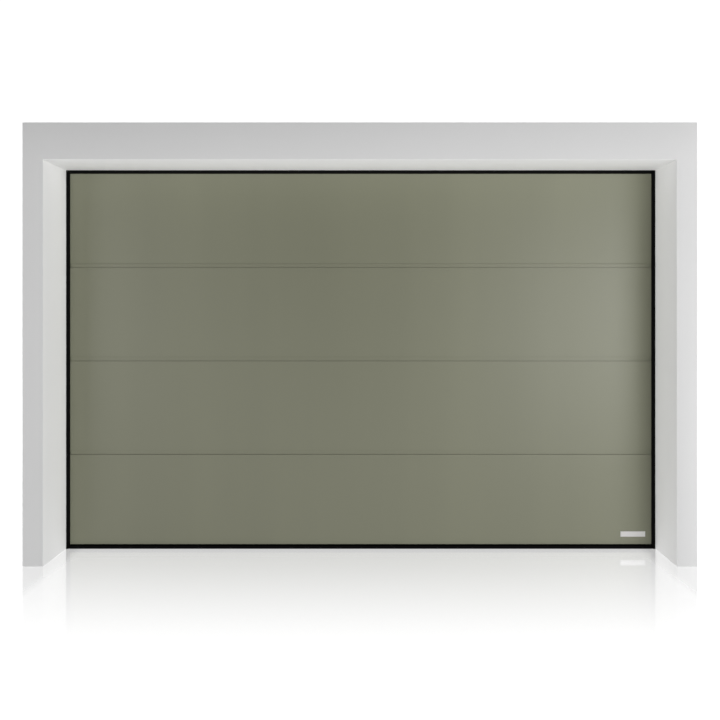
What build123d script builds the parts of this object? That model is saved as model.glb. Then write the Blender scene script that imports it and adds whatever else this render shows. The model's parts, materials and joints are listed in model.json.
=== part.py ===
from build123d import *
from math import asin, cos, degrees, radians, sin, sqrt
import os

# Sectional garage door with its masonry portal, frame, tracks and spring gear.
# +X runs to the right seen from outside, +Y into the garage, +Z up.
# The origin is on the floor, under the middle of the closed leaf.
# All lengths are in millimetres.

# Opening and the masonry round it
opening_width = 3500.0
opening_height = 2250.0
wall_depth = 300.0
jamb_width = 114.5
lintel_height = 205.0

# Leaf of four sections
leaf_thickness = 42.0
leaf_lap = 15.0
first_seam = 558.5
section_pitch = 556.75
seam_count = 3
threshold_height = 25.0
cap_sheet = 1.5
cap_flange = 55.0

# Seam between two sections: a groove, a set-back strip and a rounded tongue in a hollow
groove_height = 2.2
groove_depth = 8.0
lip_thickness = 0.8
lip_height = 26.5
nose_radius = 14.0
crown_radius = 10.0
crown_flat = 8.0
seam_clearance = 2.5
rear_ledge = 2.0
rear_gap = 4.0

# Rail and tubular seal under the leaf
rail_height = 8.0
rail_setback = 6.0
rail_channel_width = 14.0
rail_channel_depth = 4.0
bulb_corner = 7.0
apron_height = 18.0
apron_corner = 3.0
apron_clearance = 1.0
bulb_void_width = 26.0
bulb_void_height = 9.0

# Folded frame behind the opening, and its seals
frame_sheet = 2.0
frame_flange_width = 90.0
frame_leg_depth = 118.0
frame_lip = 9.0
foot_height = 20.0
foot_wall = 2.0
header_height = 70.0
header_return = 20.0
seal_gap = 10.0
seal_sight = 18.5
seal_body = 9.0
seal_lip = 2.5
seal_clearance = 0.3

# Tracks
roller_offset = 30.0
track_sheet = 2.0
track_depth = 32.0
track_lip = 9.0
track_rise = 50.0
bend_radius = 305.0
track_run = 2650.0
angle_height = 66.5
angle_width = 32.0
angle_start = 130.0
crossbar_depth = 40.0
stop_length = 40.0
stop_setback = 10.0
stop_chamfer = 4.0
stop_clearance = 0.3
flag_sheet = 2.5
flag_foot = 200.0
flag_reach = 190.0
flag_setback = 40.0

# Sides of the round pieces that are drawn as polygons, from thin stems to wheels
cable_sides = 6
small_sides = 8
boss_sides = 16
wheel_sides = 24

# Rollers and the carriers that hold their stems
wheel_radius = 23.0
wheel_width = 16.0
wheel_play = 1.5
stem_radius = 5.5
sleeve_wall = 3.0
running_clearance = 0.1
roller_above_seam = 50.0
bottom_roller_height = 78.0
top_roller_angle = 42.0

# Hinges
hinge_plate = 2.5
hinge_width = 50.0
hinge_chamfer = 4.0
hinge_margin = 7.0
knuckle_radius = 6.5
knuckle_gap = 0.5
knuckle_strap = 14.0
pin_radius = 4.0
pin_overhang = 2.0
lower_leaf_length = 62.0
upper_leaf_length = 84.0
cheek_margin = 8.0
centre_hinge_count = 2
centre_hinge_spacing = 1170.0
side_hinge_inset = 30.0

# Bottom and top brackets
bracket_clearance = 3.0
bracket_width = 78.0
bracket_height = 120.0
bracket_sheet = 2.5
bracket_nose = 45.0
stud_rise = 26.0
stud_radius = 5.0
stud_head_radius = 9.0
stud_head_length = 3.0
stud_flange = 14.0
top_bracket_length = 150.0
top_bracket_drop = 20.0
top_cheek_low = 85.0
top_cheek_high = 45.0

# Shaft, drums, springs and cables
shaft_radius = 12.7
shaft_setback = 95.0
shaft_rise = 136.0
shaft_stub = 20.0
drum_radius = 50.0
drum_flange_radius = 56.0
drum_flange = 5.0
drum_shoulder = 4.0
drum_groove_count = 3
drum_rim = 6.0
drum_hub_radius = 22.0
groove_clearance = 0.1
cable_radius = 1.6
cable_gap = 18.0
bearing_plate = 2.5
bearing_plate_width = 70.0
bearing_plate_depth = 145.0
bearing_wall = 13.0
bearing_length = 16.0
bearing_play = 0.5
centre_plate_width = 90.0
centre_plate_depth = 130.0
centre_bearing_length = 28.0
plate_margin = 4.0
spring_bore_radius = 25.5
spring_wire = 5.6
spring_length = 700.0
cone_clearance = 0.3
cone_length = 40.0
fixed_flange_radius = 36.0
fixed_flange_length = 8.0
winding_head_radius = 33.0
winding_head_length = 45.0
winding_socket_radius = 6.5

# Suspension from the ceiling
hanger_length = 323.5
hanger_leg = 30.0
hanger_sheet = 2.0
hanger_count = 2
hanger_spacing = 1300.0
hanger_setback = 50.0
anchor_plate_width = 90.0
anchor_plate = 3.0
anchor_hole_radius = 5.0

# Places worked out from the sizes above
half_opening = opening_width / 2
half_outside = half_opening + jamb_width
leaf_half = half_opening + leaf_lap
leaf_top = opening_height + leaf_lap
leaf_front = -leaf_thickness / 2
leaf_rear = leaf_thickness / 2
cap_face = leaf_rear + cap_sheet
frame_face = leaf_front - seal_gap
wall_rear = frame_face - frame_sheet
wall_middle = wall_rear - wall_depth / 2
frame_edge = half_opening + frame_flange_width
track_web = frame_edge - frame_sheet
track_mouth = track_web - track_depth
roller_line = leaf_rear + roller_offset
track_half = wheel_radius + wheel_play + track_sheet
track_level = opening_height + track_rise
bend_y = roller_line + bend_radius
bend_z = track_level - bend_radius
angle_low = track_level - track_half
angle_high = angle_low + angle_height
shaft_y = wall_rear + shaft_setback
shaft_z = opening_height + shaft_rise
plates_low = shaft_z - drum_flange_radius
plates_high = opening_height + lintel_height - plate_margin
seams = [first_seam + i * section_pitch for i in range(seam_count)]
seam_axis = rear_ledge + rear_gap / 2
side_hinge_x = leaf_half - side_hinge_inset
stem_start = side_hinge_x - hinge_width / 2
wheel_face = track_web - track_sheet - wheel_play
roller_reach = roller_line - cap_face
cable_x = leaf_half + cable_gap
cable_y = shaft_y - drum_radius
bracket_low = threshold_height + bracket_clearance
stud_z = bracket_low + stud_rise

finished = {}


def mirrored(piece):
    """The left-hand twin of a right-hand piece."""
    with BuildPart() as twin:
        mirror(piece.part, about=Plane.YZ)
    return twin


# Masonry: two jambs and a lintel
with BuildPart() as jamb_right:
    with BuildSketch(Plane.XY):
        with Locations((half_opening + jamb_width / 2, wall_middle)):
            Rectangle(jamb_width, wall_depth)
    extrude(amount=opening_height)
finished["jamb_right"] = jamb_right
finished["jamb_left"] = mirrored(jamb_right)

with BuildPart() as lintel:
    with BuildSketch(Plane.XY.offset(opening_height)):
        with Locations((0, wall_middle)):
            Rectangle(2 * half_outside, wall_depth)
    extrude(amount=lintel_height)
finished["lintel"] = lintel

# Folded steel frame: a lip that carries the seal, a flange on the wall and a leg for the track
with BuildPart() as side_frame_right:
    with BuildSketch(Plane.XY.offset(foot_height)):
        with BuildLine():
            Polyline(
                (half_opening, frame_face + frame_lip - frame_sheet),
                (half_opening, wall_rear),
                (frame_edge, wall_rear),
                (frame_edge, wall_rear + frame_leg_depth),
            )
            offset(amount=frame_sheet, side=Side.LEFT)
        make_face()
    extrude(amount=plates_low - foot_height)
finished["side_frame_right"] = side_frame_right
finished["side_frame_left"] = mirrored(side_frame_right)

with BuildPart() as header_frame:
    with BuildSketch(Plane.YZ):
        with BuildLine():
            Polyline(
                (frame_face + frame_lip - frame_sheet, opening_height),
                (wall_rear, opening_height),
                (wall_rear, opening_height + header_height),
                (wall_rear + header_return, opening_height + header_height),
            )
            offset(amount=frame_sheet, side=Side.RIGHT)
        make_face()
    extrude(amount=half_opening, both=True)
finished["header_frame"] = header_frame

# Plastic shoes that frames and tracks stand in
shoe_rear = wall_rear + frame_leg_depth + foot_wall
with BuildPart() as frame_feet:
    with BuildSketch(Plane.XY):
        with BuildLine():
            Polyline(
                (half_opening, wall_rear),
                (frame_edge + foot_wall, wall_rear),
                (frame_edge + foot_wall, shoe_rear),
                (track_mouth - foot_wall, shoe_rear),
                (track_mouth - foot_wall, frame_face + frame_lip),
                (half_opening, frame_face + frame_lip),
                close=True,
            )
        make_face()
    extrude(amount=foot_height)
    mirror(about=Plane.YZ)
finished["frame_feet"] = frame_feet


def seal_profile(edge):
    """Points (across, depth) of the seal: a body on the frame's lip and a thin lip that meets the leaf."""
    root = edge - seal_body
    tip = edge - seal_sight
    touch = leaf_front - seal_clearance
    body_rear = frame_face + frame_lip - frame_sheet - seal_clearance
    return [
        (edge, wall_rear),
        (root, wall_rear),
        (tip, touch - seal_lip),
        (tip, touch),
        (root, body_rear),
        (edge, body_rear),
    ]


# Rubber seals, mitred where they meet in the top corners
with BuildPart() as side_seal_right:
    with BuildSketch(Plane.XY):
        with BuildLine():
            Polyline(*seal_profile(half_opening), close=True)
        make_face()
    extrude(amount=opening_height)
    mitre = Plane(origin=(half_opening, 0, opening_height), z_dir=(-1, 0, 1))
    split(bisect_by=mitre, keep=Keep.BOTTOM)
finished["side_seal_right"] = side_seal_right
finished["side_seal_left"] = mirrored(side_seal_right)

with BuildPart() as head_seal:
    with BuildSketch(Plane.YZ):
        with BuildLine():
            Polyline(*[(depth, across) for across, depth in seal_profile(opening_height)], close=True)
        make_face()
    extrude(amount=half_opening, both=True)
    for side in (1, -1):
        mitre = Plane(origin=(side * half_opening, 0, opening_height), z_dir=(-side, 0, 1))
        split(bisect_by=mitre, keep=Keep.TOP)
finished["head_seal"] = head_seal

# Centres and turning points shared by the tongue and the hollow of a seam
strip_y = leaf_front + lip_thickness + seam_clearance
nose_y = strip_y + nose_radius
crown_y = nose_y + crown_flat
nose_rise = lip_height - seam_clearance
tongue_rise = nose_rise + nose_radius
hollow_radius = nose_radius + seam_clearance
lip_angle = degrees(asin(seam_clearance / hollow_radius))


def tongue(seam):
    """Top edge of a section from front to rear: groove, strip, rounded nose, crown and ledge."""
    groove_y = leaf_front + groove_depth
    Polyline(
        (leaf_front, seam),
        (groove_y, seam),
        (groove_y, seam + groove_height),
        (strip_y, seam + groove_height),
        (strip_y, seam + nose_rise),
    )
    CenterArc((nose_y, seam + nose_rise), nose_radius, 180, -90)
    Line((nose_y, seam + tongue_rise), (crown_y, seam + tongue_rise))
    CenterArc((crown_y, seam + tongue_rise - crown_radius), crown_radius, 90, -90)
    Polyline(
        (crown_y + crown_radius, seam + tongue_rise - crown_radius),
        (crown_y + crown_radius, seam + rear_ledge),
        (leaf_rear, seam + rear_ledge),
    )


def hollow(seam):
    """Bottom edge of a section from rear to front: ledge, hollow over the tongue and front lip."""
    rear_wall = crown_y + crown_radius + seam_clearance
    roof = seam + tongue_rise + seam_clearance
    spring_z = seam + tongue_rise - crown_radius
    Polyline(
        (leaf_rear, seam + rear_ledge + rear_gap),
        (rear_wall, seam + rear_ledge + rear_gap),
        (rear_wall, spring_z),
    )
    CenterArc((crown_y, spring_z), crown_radius + seam_clearance, 0, 90)
    Line((crown_y, roof), (nose_y, roof))
    lip_arc = CenterArc((nose_y, seam + nose_rise), hollow_radius, 90, 90 - lip_angle)
    Line(lip_arc @ 1, (leaf_front, seam + lip_height))


# Four foam-filled sections, their edges interlocking at the seams, with a folded cap on each end
section_names = ["bottom_section", "lower_middle_section", "upper_middle_section", "top_section"]
section_profiles = []
cap_edges = []
rear_edges = []
for i in range(seam_count + 1):
    is_bottom = i == 0
    is_top = i == seam_count
    rear_low = threshold_height if is_bottom else seams[i - 1] + rear_ledge + rear_gap
    front_low = threshold_height if is_bottom else seams[i - 1] + lip_height
    rear_high = leaf_top if is_top else seams[i] + rear_ledge
    front_high = leaf_top if is_top else seams[i]
    cap_low = threshold_height if is_bottom else seams[i - 1] + tongue_rise + seam_clearance
    cap_edges.append((cap_low, front_high))
    rear_edges.append((rear_low, rear_high))
    with BuildSketch(Plane.YZ) as profile:
        with BuildLine():
            Line((leaf_front, front_low), (leaf_front, front_high))
            if is_top:
                Line((leaf_front, leaf_top), (leaf_rear, leaf_top))
            else:
                tongue(seams[i])
            Line((leaf_rear, rear_high), (leaf_rear, rear_low))
            if is_bottom:
                Line((leaf_rear, threshold_height), (leaf_front, threshold_height))
            else:
                hollow(seams[i - 1])
        make_face()
    section_profiles.append(profile.sketch)

for name, profile in zip(section_names, section_profiles):
    with BuildPart() as section:
        extrude(profile, amount=leaf_half - cap_sheet, both=True)
    finished[name] = section

with BuildPart() as end_caps:
    for (cap_low, cap_high), (rear_low, rear_high) in zip(cap_edges, rear_edges):
        with BuildSketch(Plane.YZ.offset(leaf_half - cap_sheet)):
            with Locations((0, cap_low)):
                Rectangle(leaf_thickness, cap_high - cap_low, align=(Align.CENTER, Align.MIN))
        extrude(amount=cap_sheet)
        with BuildSketch(Plane.YZ.offset(leaf_half - cap_flange)):
            with Locations((leaf_rear, rear_low)):
                Rectangle(cap_sheet, rear_high - rear_low, align=(Align.MIN, Align.MIN))
        extrude(amount=cap_flange)
    mirror(about=Plane.YZ)
finished["end_caps"] = end_caps

# Aluminium rail and tubular rubber seal under the bottom section, its apron filling the gap in front
rail_low = threshold_height - rail_height
rail_front = leaf_front + rail_setback
rail_middle = (rail_front + leaf_rear) / 2
with BuildPart() as bottom_rail:
    with BuildSketch(Plane.YZ):
        with Locations((rail_middle, rail_low)):
            Rectangle(leaf_rear - rail_front, rail_height, align=(Align.CENTER, Align.MIN))
            channel_align = (Align.CENTER, Align.MIN)
            Rectangle(rail_channel_width, rail_channel_depth, align=channel_align, mode=Mode.SUBTRACT)
    extrude(amount=leaf_half, both=True)
finished["bottom_rail"] = bottom_rail

with BuildPart() as bottom_seal:
    with BuildSketch(Plane.YZ) as bulb:
        Rectangle(leaf_thickness, threshold_height, align=(Align.CENTER, Align.MIN))
        fillet(bulb.vertices().group_by(Axis.Y)[0].sort_by(Axis.X)[-1], bulb_corner)
        with Locations((rail_front, rail_low)):
            Rectangle(leaf_rear - rail_front, rail_height, align=(Align.MIN, Align.MIN), mode=Mode.SUBTRACT)
        with Locations((0, rail_low / 2)):
            SlotOverall(bulb_void_width, bulb_void_height, mode=Mode.SUBTRACT)
    extrude(amount=leaf_half, both=True)
    with BuildSketch(Plane.YZ) as apron:
        with Locations((leaf_front, 0)):
            Rectangle(leaf_front - wall_rear, apron_height, align=(Align.MAX, Align.MIN))
        fillet(apron.vertices().group_by(Axis.X)[0], apron_corner)
    extrude(amount=half_opening - seal_sight - apron_clearance, both=True)
finished["bottom_seal"] = bottom_seal


def track_channel(plane):
    """The track's folded channel on a plane whose origin lies on the roller line."""
    with BuildSketch(plane) as channel:
        with BuildLine():
            Polyline(
                (track_mouth, track_lip - track_half),
                (track_mouth, -track_half),
                (track_web, -track_half),
                (track_web, track_half),
                (track_mouth, track_half),
                (track_mouth, track_half - track_lip),
            )
            offset(amount=track_sheet, side=Side.LEFT)
        make_face()
    return channel.sketch


# Tracks: upright, round the bend and back along the ceiling
with BuildPart() as vertical_track_right:
    extrude(track_channel(Plane((0, roller_line, foot_height))), amount=bend_z - foot_height)
finished["vertical_track_right"] = vertical_track_right
finished["vertical_track_left"] = mirrored(vertical_track_right)

with BuildPart() as track_bend_right:
    bend_axis = Axis((0, bend_y, bend_z), (-1, 0, 0))
    revolve(track_channel(Plane((0, roller_line, bend_z))), axis=bend_axis, revolution_arc=90)
finished["track_bend_right"] = track_bend_right
finished["track_bend_left"] = mirrored(track_bend_right)

with BuildPart() as horizontal_track_right:
    rear_facing = Plane((0, bend_y, track_level), x_dir=(1, 0, 0), z_dir=(0, 1, 0))
    extrude(track_channel(rear_facing), amount=track_run - bend_y)
finished["horizontal_track_right"] = horizontal_track_right
finished["horizontal_track_left"] = mirrored(horizontal_track_right)

with BuildPart() as track_angles:
    with BuildSketch(Plane.XZ.offset(-angle_start)):
        with Locations((frame_edge, angle_low)):
            Rectangle(frame_sheet, angle_height, align=(Align.MAX, Align.MIN))
        with Locations((frame_edge, angle_high)):
            Rectangle(angle_width + frame_sheet, frame_sheet, align=(Align.MAX, Align.MAX))
    extrude(amount=angle_start - track_run)
    mirror(about=Plane.YZ)
finished["track_angles"] = track_angles

# Flag brackets that join frame, bend and angle in the top corners
with BuildPart() as flag_brackets:
    with BuildSketch(Plane.YZ.offset(frame_edge)):
        with BuildLine():
            Polyline(
                (wall_rear + flag_setback, plates_low - flag_foot),
                (wall_rear + frame_leg_depth, plates_low - flag_foot),
                (angle_start + flag_reach, angle_low),
                (angle_start + flag_reach, angle_high),
                (wall_rear + flag_setback, angle_high),
                close=True,
            )
        make_face()
    extrude(amount=flag_sheet)
    mirror(about=Plane.YZ)
finished["flag_brackets"] = flag_brackets

with BuildPart() as rear_crossbar:
    with BuildSketch(Plane.YZ):
        with BuildLine():
            Polyline(
                (track_run + crossbar_depth, angle_low),
                (track_run, angle_low),
                (track_run, angle_high),
                (track_run + crossbar_depth, angle_high),
            )
            offset(amount=frame_sheet, side=Side.RIGHT)
        make_face()
    extrude(amount=frame_edge, both=True)
finished["rear_crossbar"] = rear_crossbar

# Rubber stops inside the rear ends of the tracks
with BuildPart() as end_stops:
    with BuildSketch(Plane.YZ.offset(track_mouth + track_sheet + stop_clearance)) as stop_outline:
        with Locations((track_run - stop_setback, track_level)):
            stop_height = 2 * (track_half - track_sheet - stop_clearance)
            Rectangle(stop_length, stop_height, align=(Align.MAX, Align.CENTER))
        chamfer(stop_outline.vertices(), stop_chamfer)
    extrude(amount=track_depth - 2 * track_sheet - stop_clearance)
    mirror(about=Plane.YZ)
finished["end_stops"] = end_stops

# Angles that hang the tracks from the ceiling, each under its own anchor plate
hanger_places = [track_run - hanger_setback - i * hanger_spacing for i in range(hanger_count)]
with BuildPart() as ceiling_hangers:
    for hanger_y in hanger_places:
        with BuildSketch(Plane.XY.offset(angle_low)):
            with Locations((frame_edge, hanger_y)):
                Rectangle(hanger_sheet, hanger_leg, align=(Align.MIN, Align.MIN))
                Rectangle(hanger_leg, hanger_sheet, align=(Align.MIN, Align.MIN))
        extrude(amount=hanger_length)
        anchor_middle = (frame_edge + anchor_plate_width / 2, hanger_y + hanger_leg / 2)
        with BuildSketch(Plane.XY.offset(angle_low + hanger_length)):
            with Locations(anchor_middle):
                Rectangle(anchor_plate_width, hanger_leg)
                Circle(anchor_hole_radius, mode=Mode.SUBTRACT)
        extrude(amount=anchor_plate)
    mirror(about=Plane.YZ)
finished["ceiling_hangers"] = ceiling_hangers


def small_round(radius, mode=Mode.ADD):
    """Outline of a small round piece or of the bore that it runs in."""
    return RegularPolygon(radius, small_sides, mode=mode)


def knuckle(start, end, reach):
    """A rolled knuckle round the pin between two places along it, with a strap up or down."""
    with BuildSketch(Plane.YZ.offset(start)) as roll:
        with Locations((knuckle_radius, 0)):
            small_round(knuckle_radius)
        with Locations((hinge_plate / 2, reach / 2)):
            Rectangle(hinge_plate, abs(reach))
        with Locations((knuckle_radius, 0)):
            small_round(pin_radius + running_clearance, mode=Mode.SUBTRACT)
    extrude(roll.sketch, amount=end - start)


def back_plate(length, middle):
    """A plate with clipped corners, its back on the plane y = 0."""
    with BuildSketch(Plane.XZ) as plate:
        with Locations((0, middle)):
            Rectangle(hinge_width, length)
        chamfer(plate.vertices(), hinge_chamfer)
    extrude(plate.sketch, amount=-hinge_plate)


def carrier(reach, rise, low, high):
    """Two cheeks and a sleeve that hold a roller's stem behind the leaf, from its face back to the stem."""
    with BuildPart() as roller_carrier:
        for cheek_x in (-hinge_width / 2, hinge_width / 2 - hinge_plate):
            with BuildSketch(Plane.YZ.offset(cheek_x)):
                with Locations((reach, rise)):
                    small_round(stem_radius + sleeve_wall)
                with Locations((0, low)):
                    Rectangle(hinge_plate, high - low, align=(Align.MIN, Align.MIN))
                make_hull()
            extrude(amount=hinge_plate)
        with BuildSketch(Plane.YZ.offset(-hinge_width / 2)):
            with Locations((reach, rise)):
                small_round(stem_radius + sleeve_wall)
        extrude(amount=hinge_width)
        with BuildSketch(Plane.YZ.offset(-hinge_width / 2)):
            with Locations((reach, rise)):
                small_round(stem_radius + running_clearance)
        extrude(amount=hinge_width, mode=Mode.SUBTRACT)
    return roller_carrier.part


# Hinge leaves, drawn with the pin's line along X and their back on the plane y = 0
outer_knuckle = hinge_width / 4
with BuildPart() as lower_leaf:
    back_plate(lower_leaf_length, -hinge_margin - lower_leaf_length / 2)
    knuckle(knuckle_gap - outer_knuckle, outer_knuckle - knuckle_gap, -knuckle_strap)

with BuildPart() as upper_leaf:
    back_plate(upper_leaf_length, hinge_margin + upper_leaf_length / 2)
    knuckle(-hinge_width / 2, -outer_knuckle, knuckle_strap)
    knuckle(outer_knuckle, hinge_width / 2, knuckle_strap)

with BuildPart() as roller_leaf:
    add(upper_leaf.part)
    add(
        carrier(
            roller_reach,
            roller_above_seam - seam_axis,
            hinge_margin + cheek_margin,
            hinge_margin + upper_leaf_length - cheek_margin,
        )
    )

with BuildPart() as hinge_pin:
    with BuildSketch(Plane.YZ):
        with Locations((knuckle_radius, 0)):
            small_round(pin_radius)
    extrude(amount=hinge_width / 2 + pin_overhang, both=True)

centre_span = (centre_hinge_count - 1) * centre_hinge_spacing / 2
centre_places = [
    (i * centre_hinge_spacing - centre_span, leaf_rear, seam + seam_axis)
    for i in range(centre_hinge_count)
    for seam in seams
]
side_places = [(side_hinge_x, cap_face, seam + seam_axis) for seam in seams]

with BuildPart() as centre_hinge_lower_leaves:
    with Locations(*centre_places):
        add(lower_leaf.part)
finished["centre_hinge_lower_leaves"] = centre_hinge_lower_leaves

with BuildPart() as centre_hinge_upper_leaves:
    with Locations(*centre_places):
        add(upper_leaf.part)
finished["centre_hinge_upper_leaves"] = centre_hinge_upper_leaves

with BuildPart() as side_hinge_lower_leaves:
    with Locations(*side_places):
        add(lower_leaf.part)
    mirror(about=Plane.YZ)
finished["side_hinge_lower_leaves"] = side_hinge_lower_leaves

with BuildPart() as roller_hinges:
    with Locations(*side_places):
        add(roller_leaf.part)
    mirror(about=Plane.YZ)
finished["roller_hinges"] = roller_hinges

with BuildPart() as hinge_pins:
    with Locations(*side_places):
        add(hinge_pin.part)
    mirror(about=Plane.YZ)
    with Locations(*centre_places):
        add(hinge_pin.part)
finished["hinge_pins"] = hinge_pins

# Bottom brackets: a base plate, a side flange with the cable's stud, and a roller's carrier
bottom_carrier = carrier(
    roller_reach,
    bottom_roller_height - bracket_low,
    cheek_margin,
    bracket_height - cheek_margin,
)
with BuildPart() as bottom_brackets:
    with BuildSketch(Plane.XZ.offset(-cap_face)):
        with Locations((leaf_half + bracket_sheet, bracket_low)):
            Rectangle(bracket_width, bracket_height, align=(Align.MAX, Align.MIN))
    extrude(amount=-bracket_sheet)
    with BuildSketch(Plane.YZ.offset(leaf_half)):
        with BuildLine():
            Polyline(
                (cap_face + bracket_sheet, bracket_low),
                (cable_y - stud_flange, bracket_low),
                (cable_y - stud_flange, bracket_low + bracket_nose),
                (cap_face + bracket_sheet, bracket_low + bracket_height),
                close=True,
            )
        make_face()
    extrude(amount=bracket_sheet)
    with BuildSketch(Plane.YZ.offset(leaf_half + bracket_sheet)):
        with Locations((cable_y, stud_z)):
            small_round(stud_radius)
    extrude(amount=cable_gap - bracket_sheet + cable_radius + cone_clearance)
    with BuildSketch(Plane.YZ.offset(cable_x + cable_radius + cone_clearance)):
        with Locations((cable_y, stud_z)):
            small_round(stud_head_radius)
    extrude(amount=stud_head_length)
    with Locations((side_hinge_x, cap_face, bracket_low)):
        add(bottom_carrier)
    mirror(about=Plane.YZ)
finished["bottom_brackets"] = bottom_brackets

# Top brackets reach back to the rollers that already stand in the bend
top_roller_y = bend_y - bend_radius * cos(radians(top_roller_angle))
top_roller_z = bend_z + bend_radius * sin(radians(top_roller_angle))
top_carrier = carrier(top_roller_y - cap_face, 0, -top_cheek_low, top_cheek_high)
with BuildPart() as top_bracket:
    back_plate(top_bracket_length, -top_bracket_drop)
    add(top_carrier)

with BuildPart() as top_brackets:
    with Locations((side_hinge_x, cap_face, top_roller_z)):
        add(top_bracket.part)
    mirror(about=Plane.YZ)
finished["top_brackets"] = top_brackets

# Rollers: steel stems and plastic wheels
roller_places = [(roller_line, bottom_roller_height)]
roller_places += [(roller_line, seam + roller_above_seam) for seam in seams]
roller_places += [(top_roller_y, top_roller_z)]

with BuildPart() as roller_stems:
    with BuildSketch(Plane.YZ.offset(stem_start)):
        with Locations(*roller_places):
            small_round(stem_radius)
    extrude(amount=wheel_face - stem_start)
    mirror(about=Plane.YZ)
finished["roller_stems"] = roller_stems

with BuildPart() as roller_wheels:
    with BuildSketch(Plane.YZ.offset(wheel_face - wheel_width)):
        with Locations(*roller_places):
            RegularPolygon(wheel_radius, wheel_sides)
            small_round(stem_radius + running_clearance, mode=Mode.SUBTRACT)
    extrude(amount=wheel_width)
    mirror(about=Plane.YZ)
finished["roller_wheels"] = roller_wheels

# Shaft in its bearing plates
with BuildPart() as torsion_shaft:
    with BuildSketch(Plane.YZ):
        with Locations((shaft_y, shaft_z)):
            Circle(shaft_radius)
    extrude(amount=frame_edge + shaft_stub, both=True)
finished["torsion_shaft"] = torsion_shaft



def shaft_bore(mode=Mode.ADD):
    """Outline of a bore that clears the shaft with its flats."""
    return RegularPolygon(shaft_radius + running_clearance, boss_sides, major_radius=False, mode=mode)


bearing_face = frame_edge - bearing_length
with BuildPart() as end_bearing_plates:
    with BuildSketch(Plane.XY.offset(plates_low)):
        with Locations((frame_edge, wall_rear)):
            Rectangle(bearing_plate_width, bearing_plate, align=(Align.MAX, Align.MIN))
            Rectangle(bearing_plate, bearing_plate_depth, align=(Align.MAX, Align.MIN))
    extrude(amount=plates_high - plates_low)
    with BuildSketch(Plane.YZ.offset(bearing_face)):
        with Locations((shaft_y, shaft_z)):
            RegularPolygon(shaft_radius + bearing_wall, boss_sides)
    extrude(amount=bearing_length)
    with BuildSketch(Plane.YZ.offset(bearing_face)):
        with Locations((shaft_y, shaft_z)):
            shaft_bore()
    extrude(amount=bearing_length, mode=Mode.SUBTRACT)
    mirror(about=Plane.YZ)
finished["end_bearing_plates"] = end_bearing_plates

with BuildPart() as centre_bearing_plate:
    with BuildSketch(Plane.XY.offset(plates_low)):
        with Locations((0, wall_rear)):
            Rectangle(centre_plate_width, bearing_plate, align=(Align.CENTER, Align.MIN))
            Rectangle(bearing_plate, centre_plate_depth, align=(Align.CENTER, Align.MIN))
    extrude(amount=plates_high - plates_low)
    with BuildSketch(Plane.YZ):
        with Locations((shaft_y, shaft_z)):
            RegularPolygon(shaft_radius + bearing_wall, boss_sides)
    extrude(amount=centre_bearing_length / 2, both=True)
    with BuildSketch(Plane.YZ):
        with Locations((shaft_y, shaft_z)):
            shaft_bore()
    extrude(amount=centre_bearing_length / 2, both=True, mode=Mode.SUBTRACT)
finished["centre_bearing_plate"] = centre_bearing_plate

# Springs on both sides of the middle bearing, between a fixed and a winding cone
spring_start = centre_bearing_length / 2 + fixed_flange_length
spring_end = spring_start + spring_length
with BuildPart() as torsion_springs:
    with BuildSketch(Plane.YZ.offset(spring_start)):
        with Locations((shaft_y, shaft_z)):
            RegularPolygon(spring_bore_radius + spring_wire, wheel_sides)
            RegularPolygon(spring_bore_radius, wheel_sides, mode=Mode.SUBTRACT)
    extrude(amount=spring_length)
    mirror(about=Plane.YZ)
finished["torsion_springs"] = torsion_springs

cone_steps = [
    (spring_start - fixed_flange_length, fixed_flange_length, fixed_flange_radius),
    (spring_start, cone_length, spring_bore_radius - cone_clearance),
    (spring_end - cone_length, cone_length, spring_bore_radius - cone_clearance),
    (spring_end, winding_head_length, winding_head_radius),
]
with BuildPart() as spring_cones:
    for start, length, radius in cone_steps:
        with BuildSketch(Plane.YZ.offset(start)):
            with Locations((shaft_y, shaft_z)):
                RegularPolygon(radius, boss_sides)
                shaft_bore(mode=Mode.SUBTRACT)
        extrude(amount=length)
    for across in ((0, 1, 0), (0, 0, 1)):
        socket_middle = (spring_end + winding_head_length / 2, shaft_y, shaft_z)
        with BuildSketch(Plane(socket_middle, z_dir=across)):
            small_round(winding_socket_radius)
        extrude(amount=winding_head_radius, both=True, mode=Mode.SUBTRACT)
    mirror(about=Plane.YZ)
finished["spring_cones"] = spring_cones

# Cable drums: a grooved barrel, a flange that guides the cable and a hub against the bearing
groove_half = (cable_radius + groove_clearance) * sqrt(2)
grooves_start = -(2 * drum_groove_count - 1) * groove_half
barrel_start = grooves_start - drum_rim
groove_profile = [(grooves_start, drum_radius)]
for i in range(drum_groove_count):
    crest = grooves_start + 2 * i * groove_half
    groove_profile.append((crest + groove_half, drum_radius - groove_half))
    groove_profile.append((crest + 2 * groove_half, drum_radius))
hub_end = bearing_face - bearing_play - cable_x
with BuildPart() as drum:
    with BuildSketch(Plane.XY):
        with BuildLine():
            Polyline(
                (barrel_start, shaft_radius + running_clearance),
                (barrel_start, drum_radius),
                *groove_profile,
                (drum_shoulder, drum_radius),
                (drum_shoulder, drum_flange_radius),
                (drum_shoulder + drum_flange, drum_flange_radius),
                (drum_shoulder + drum_flange, drum_hub_radius),
                (hub_end, drum_hub_radius),
                (hub_end, shaft_radius + running_clearance),
                close=True,
            )
        make_face()
    revolve(axis=Axis.X)

with BuildPart() as cable_drums:
    with Locations((cable_x, shaft_y, shaft_z)):
        add(drum.part)
    mirror(about=Plane.YZ)
finished["cable_drums"] = cable_drums

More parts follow.
